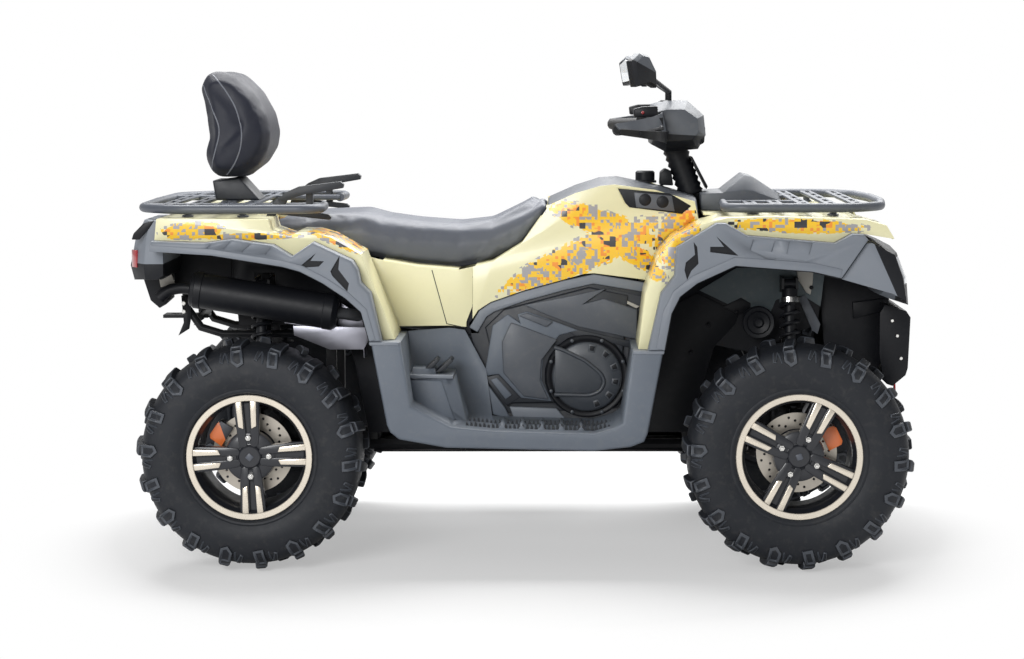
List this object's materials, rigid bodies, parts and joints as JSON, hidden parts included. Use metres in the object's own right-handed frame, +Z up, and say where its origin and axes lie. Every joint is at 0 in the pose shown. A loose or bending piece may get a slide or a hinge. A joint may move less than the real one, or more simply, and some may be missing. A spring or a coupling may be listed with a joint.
{
  "type": "quad bike",
  "caption": "Two-seat utility quad bike with lugged tyres, steering, sand-coloured body, dark flares, front and rear racks, mirrors and a padded backrest.",
  "frame": {"origin": "on the ground below the middle of the overall length and width", "axes": "+X forward, +Y to the rider's left, +Z up"},
  "size_m": [2.173, 1.18, 1.405],
  "materials": {
    "sand_plastic": "satin moulded",
    "grey_plastic": "fine grained",
    "black_plastic": "fine grained",
    "black_steel": "satin powder coat",
    "tyre": "matt",
    "alloy": "machined and black",
    "cast_alloy": "cast",
    "forged_steel": "dark",
    "shield_steel": "brushed",
    "seat_vinyl": "grained",
    "grip_rubber": "matt",
    "caliper_paint": "gloss",
    "lamp_clear": "clear",
    "lamp_red": "clear red"
  },
  "bodies": {
    "chassis": {"rear_uprights": "forged_steel", "rear_calipers": "caliper_paint", "wishbones": "black_steel", "shocks": "black_steel", "axle_drives": "cast_alloy", "main_rails": "black_steel", "frame_members": "black_steel", "axle_cages": "black_steel", "towing_frame": "black_steel", "footwell_brackets": "black_steel", "engine_block": "cast_alloy", "engine_covers": "black_plastic", "engine_side_panels": "grey_plastic", "footrests": "grey_plastic", "side_panels": "sand_plastic", "tank_sides": "sand_plastic", "tank_cover": "black_plastic", "front_fender": "sand_plastic", "front_flares": "grey_plastic", "rear_fender": "sand_plastic", "rear_flares": "grey_plastic", "arch_liners": "grey_plastic", "nose_cowl": "grey_plastic", "headlights": "lamp_clear", "console_cowl": "black_plastic", "front_bumper": "black_steel", "winch": "black_steel", "tail_unit": "grey_plastic", "tail_lamps": "lamp_red", "front_rack": "black_steel", "rear_rack": "black_steel", "seat": "seat_vinyl", "backrest": "seat_vinyl", "backrest_post": "black_plastic", "grab_handles": "black_steel", "muffler": "black_steel", "heat_shield": "shield_steel"},
    "handlebar": {"handlebar": "black_steel", "grips": "grip_rubber", "levers": "black_plastic", "handlebar_pod": "black_plastic", "mirrors": "black_plastic"},
    "knuckle_right": {"knuckle_right": "forged_steel", "caliper_right": "caliper_paint"},
    "knuckle_left": {"knuckle_left": "forged_steel", "caliper_left": "caliper_paint"},
    "front_wheel_right": {"tyre_front_right": "tyre", "rim_front_right": "alloy"},
    "front_wheel_left": {"tyre_front_left": "tyre", "rim_front_left": "alloy"},
    "rear_wheel_right": {"tyre_rear_right": "tyre", "rim_rear_right": "alloy"},
    "rear_wheel_left": {"tyre_rear_left": "tyre", "rim_rear_left": "alloy"},
    "tie_rod_right": {"tie_rod_right": "forged_steel"},
    "tie_rod_left": {"tie_rod_left": "forged_steel"}
  },
  "joints": [
    {"name": "steering", "type": "hinge", "parent": "chassis", "child": "handlebar", "pos_m": [0.67, 0, 0.482], "axis": [-0.342, 0, 0.9397], "range_deg": [-38, 38]},
    {"name": "knuckle_turn_right", "type": "hinge", "parent": "chassis", "child": "knuckle_right", "pos_m": [0.745, -0.43, 0.318], "axis": [0, 0, 1], "range_deg": [-31, 31]},
    {"name": "front_wheel_turn_right", "type": "hinge", "parent": "knuckle_right", "child": "front_wheel_right", "pos_m": [0.745, -0.4875, 0.318], "axis": [0, 1, 0], "continuous": true},
    {"name": "rear_wheel_turn_right", "type": "hinge", "parent": "chassis", "child": "rear_wheel_right", "pos_m": [-0.745, -0.465, 0.318], "axis": [0, 1, 0], "continuous": true},
    {"name": "tie_rod_turn_right", "type": "hinge", "parent": "knuckle_right", "child": "tie_rod_right", "pos_m": [0.651, -0.43, 0.362], "axis": [0, 0, 1], "range_deg": [-31, 31]},
    {"name": "knuckle_turn_left", "type": "hinge", "parent": "chassis", "child": "knuckle_left", "pos_m": [0.745, 0.43, 0.318], "axis": [0, 0, 1], "range_deg": [-31, 31]},
    {"name": "front_wheel_turn_left", "type": "hinge", "parent": "knuckle_left", "child": "front_wheel_left", "pos_m": [0.745, 0.4875, 0.318], "axis": [0, 1, 0], "continuous": true},
    {"name": "rear_wheel_turn_left", "type": "hinge", "parent": "chassis", "child": "rear_wheel_left", "pos_m": [-0.745, 0.465, 0.318], "axis": [0, 1, 0], "continuous": true},
    {"name": "tie_rod_turn_left", "type": "hinge", "parent": "knuckle_left", "child": "tie_rod_left", "pos_m": [0.651, 0.43, 0.362], "axis": [0, 0, 1], "range_deg": [-31, 31]}
  ],
  "couplings": [
    {"joint": "knuckle_turn_right", "follows": "steering", "ratio": 0.8},
    {"joint": "tie_rod_turn_right", "follows": "steering", "ratio": -0.8},
    {"joint": "knuckle_turn_left", "follows": "steering", "ratio": 0.8},
    {"joint": "tie_rod_turn_left", "follows": "steering", "ratio": -0.8}
  ]
}
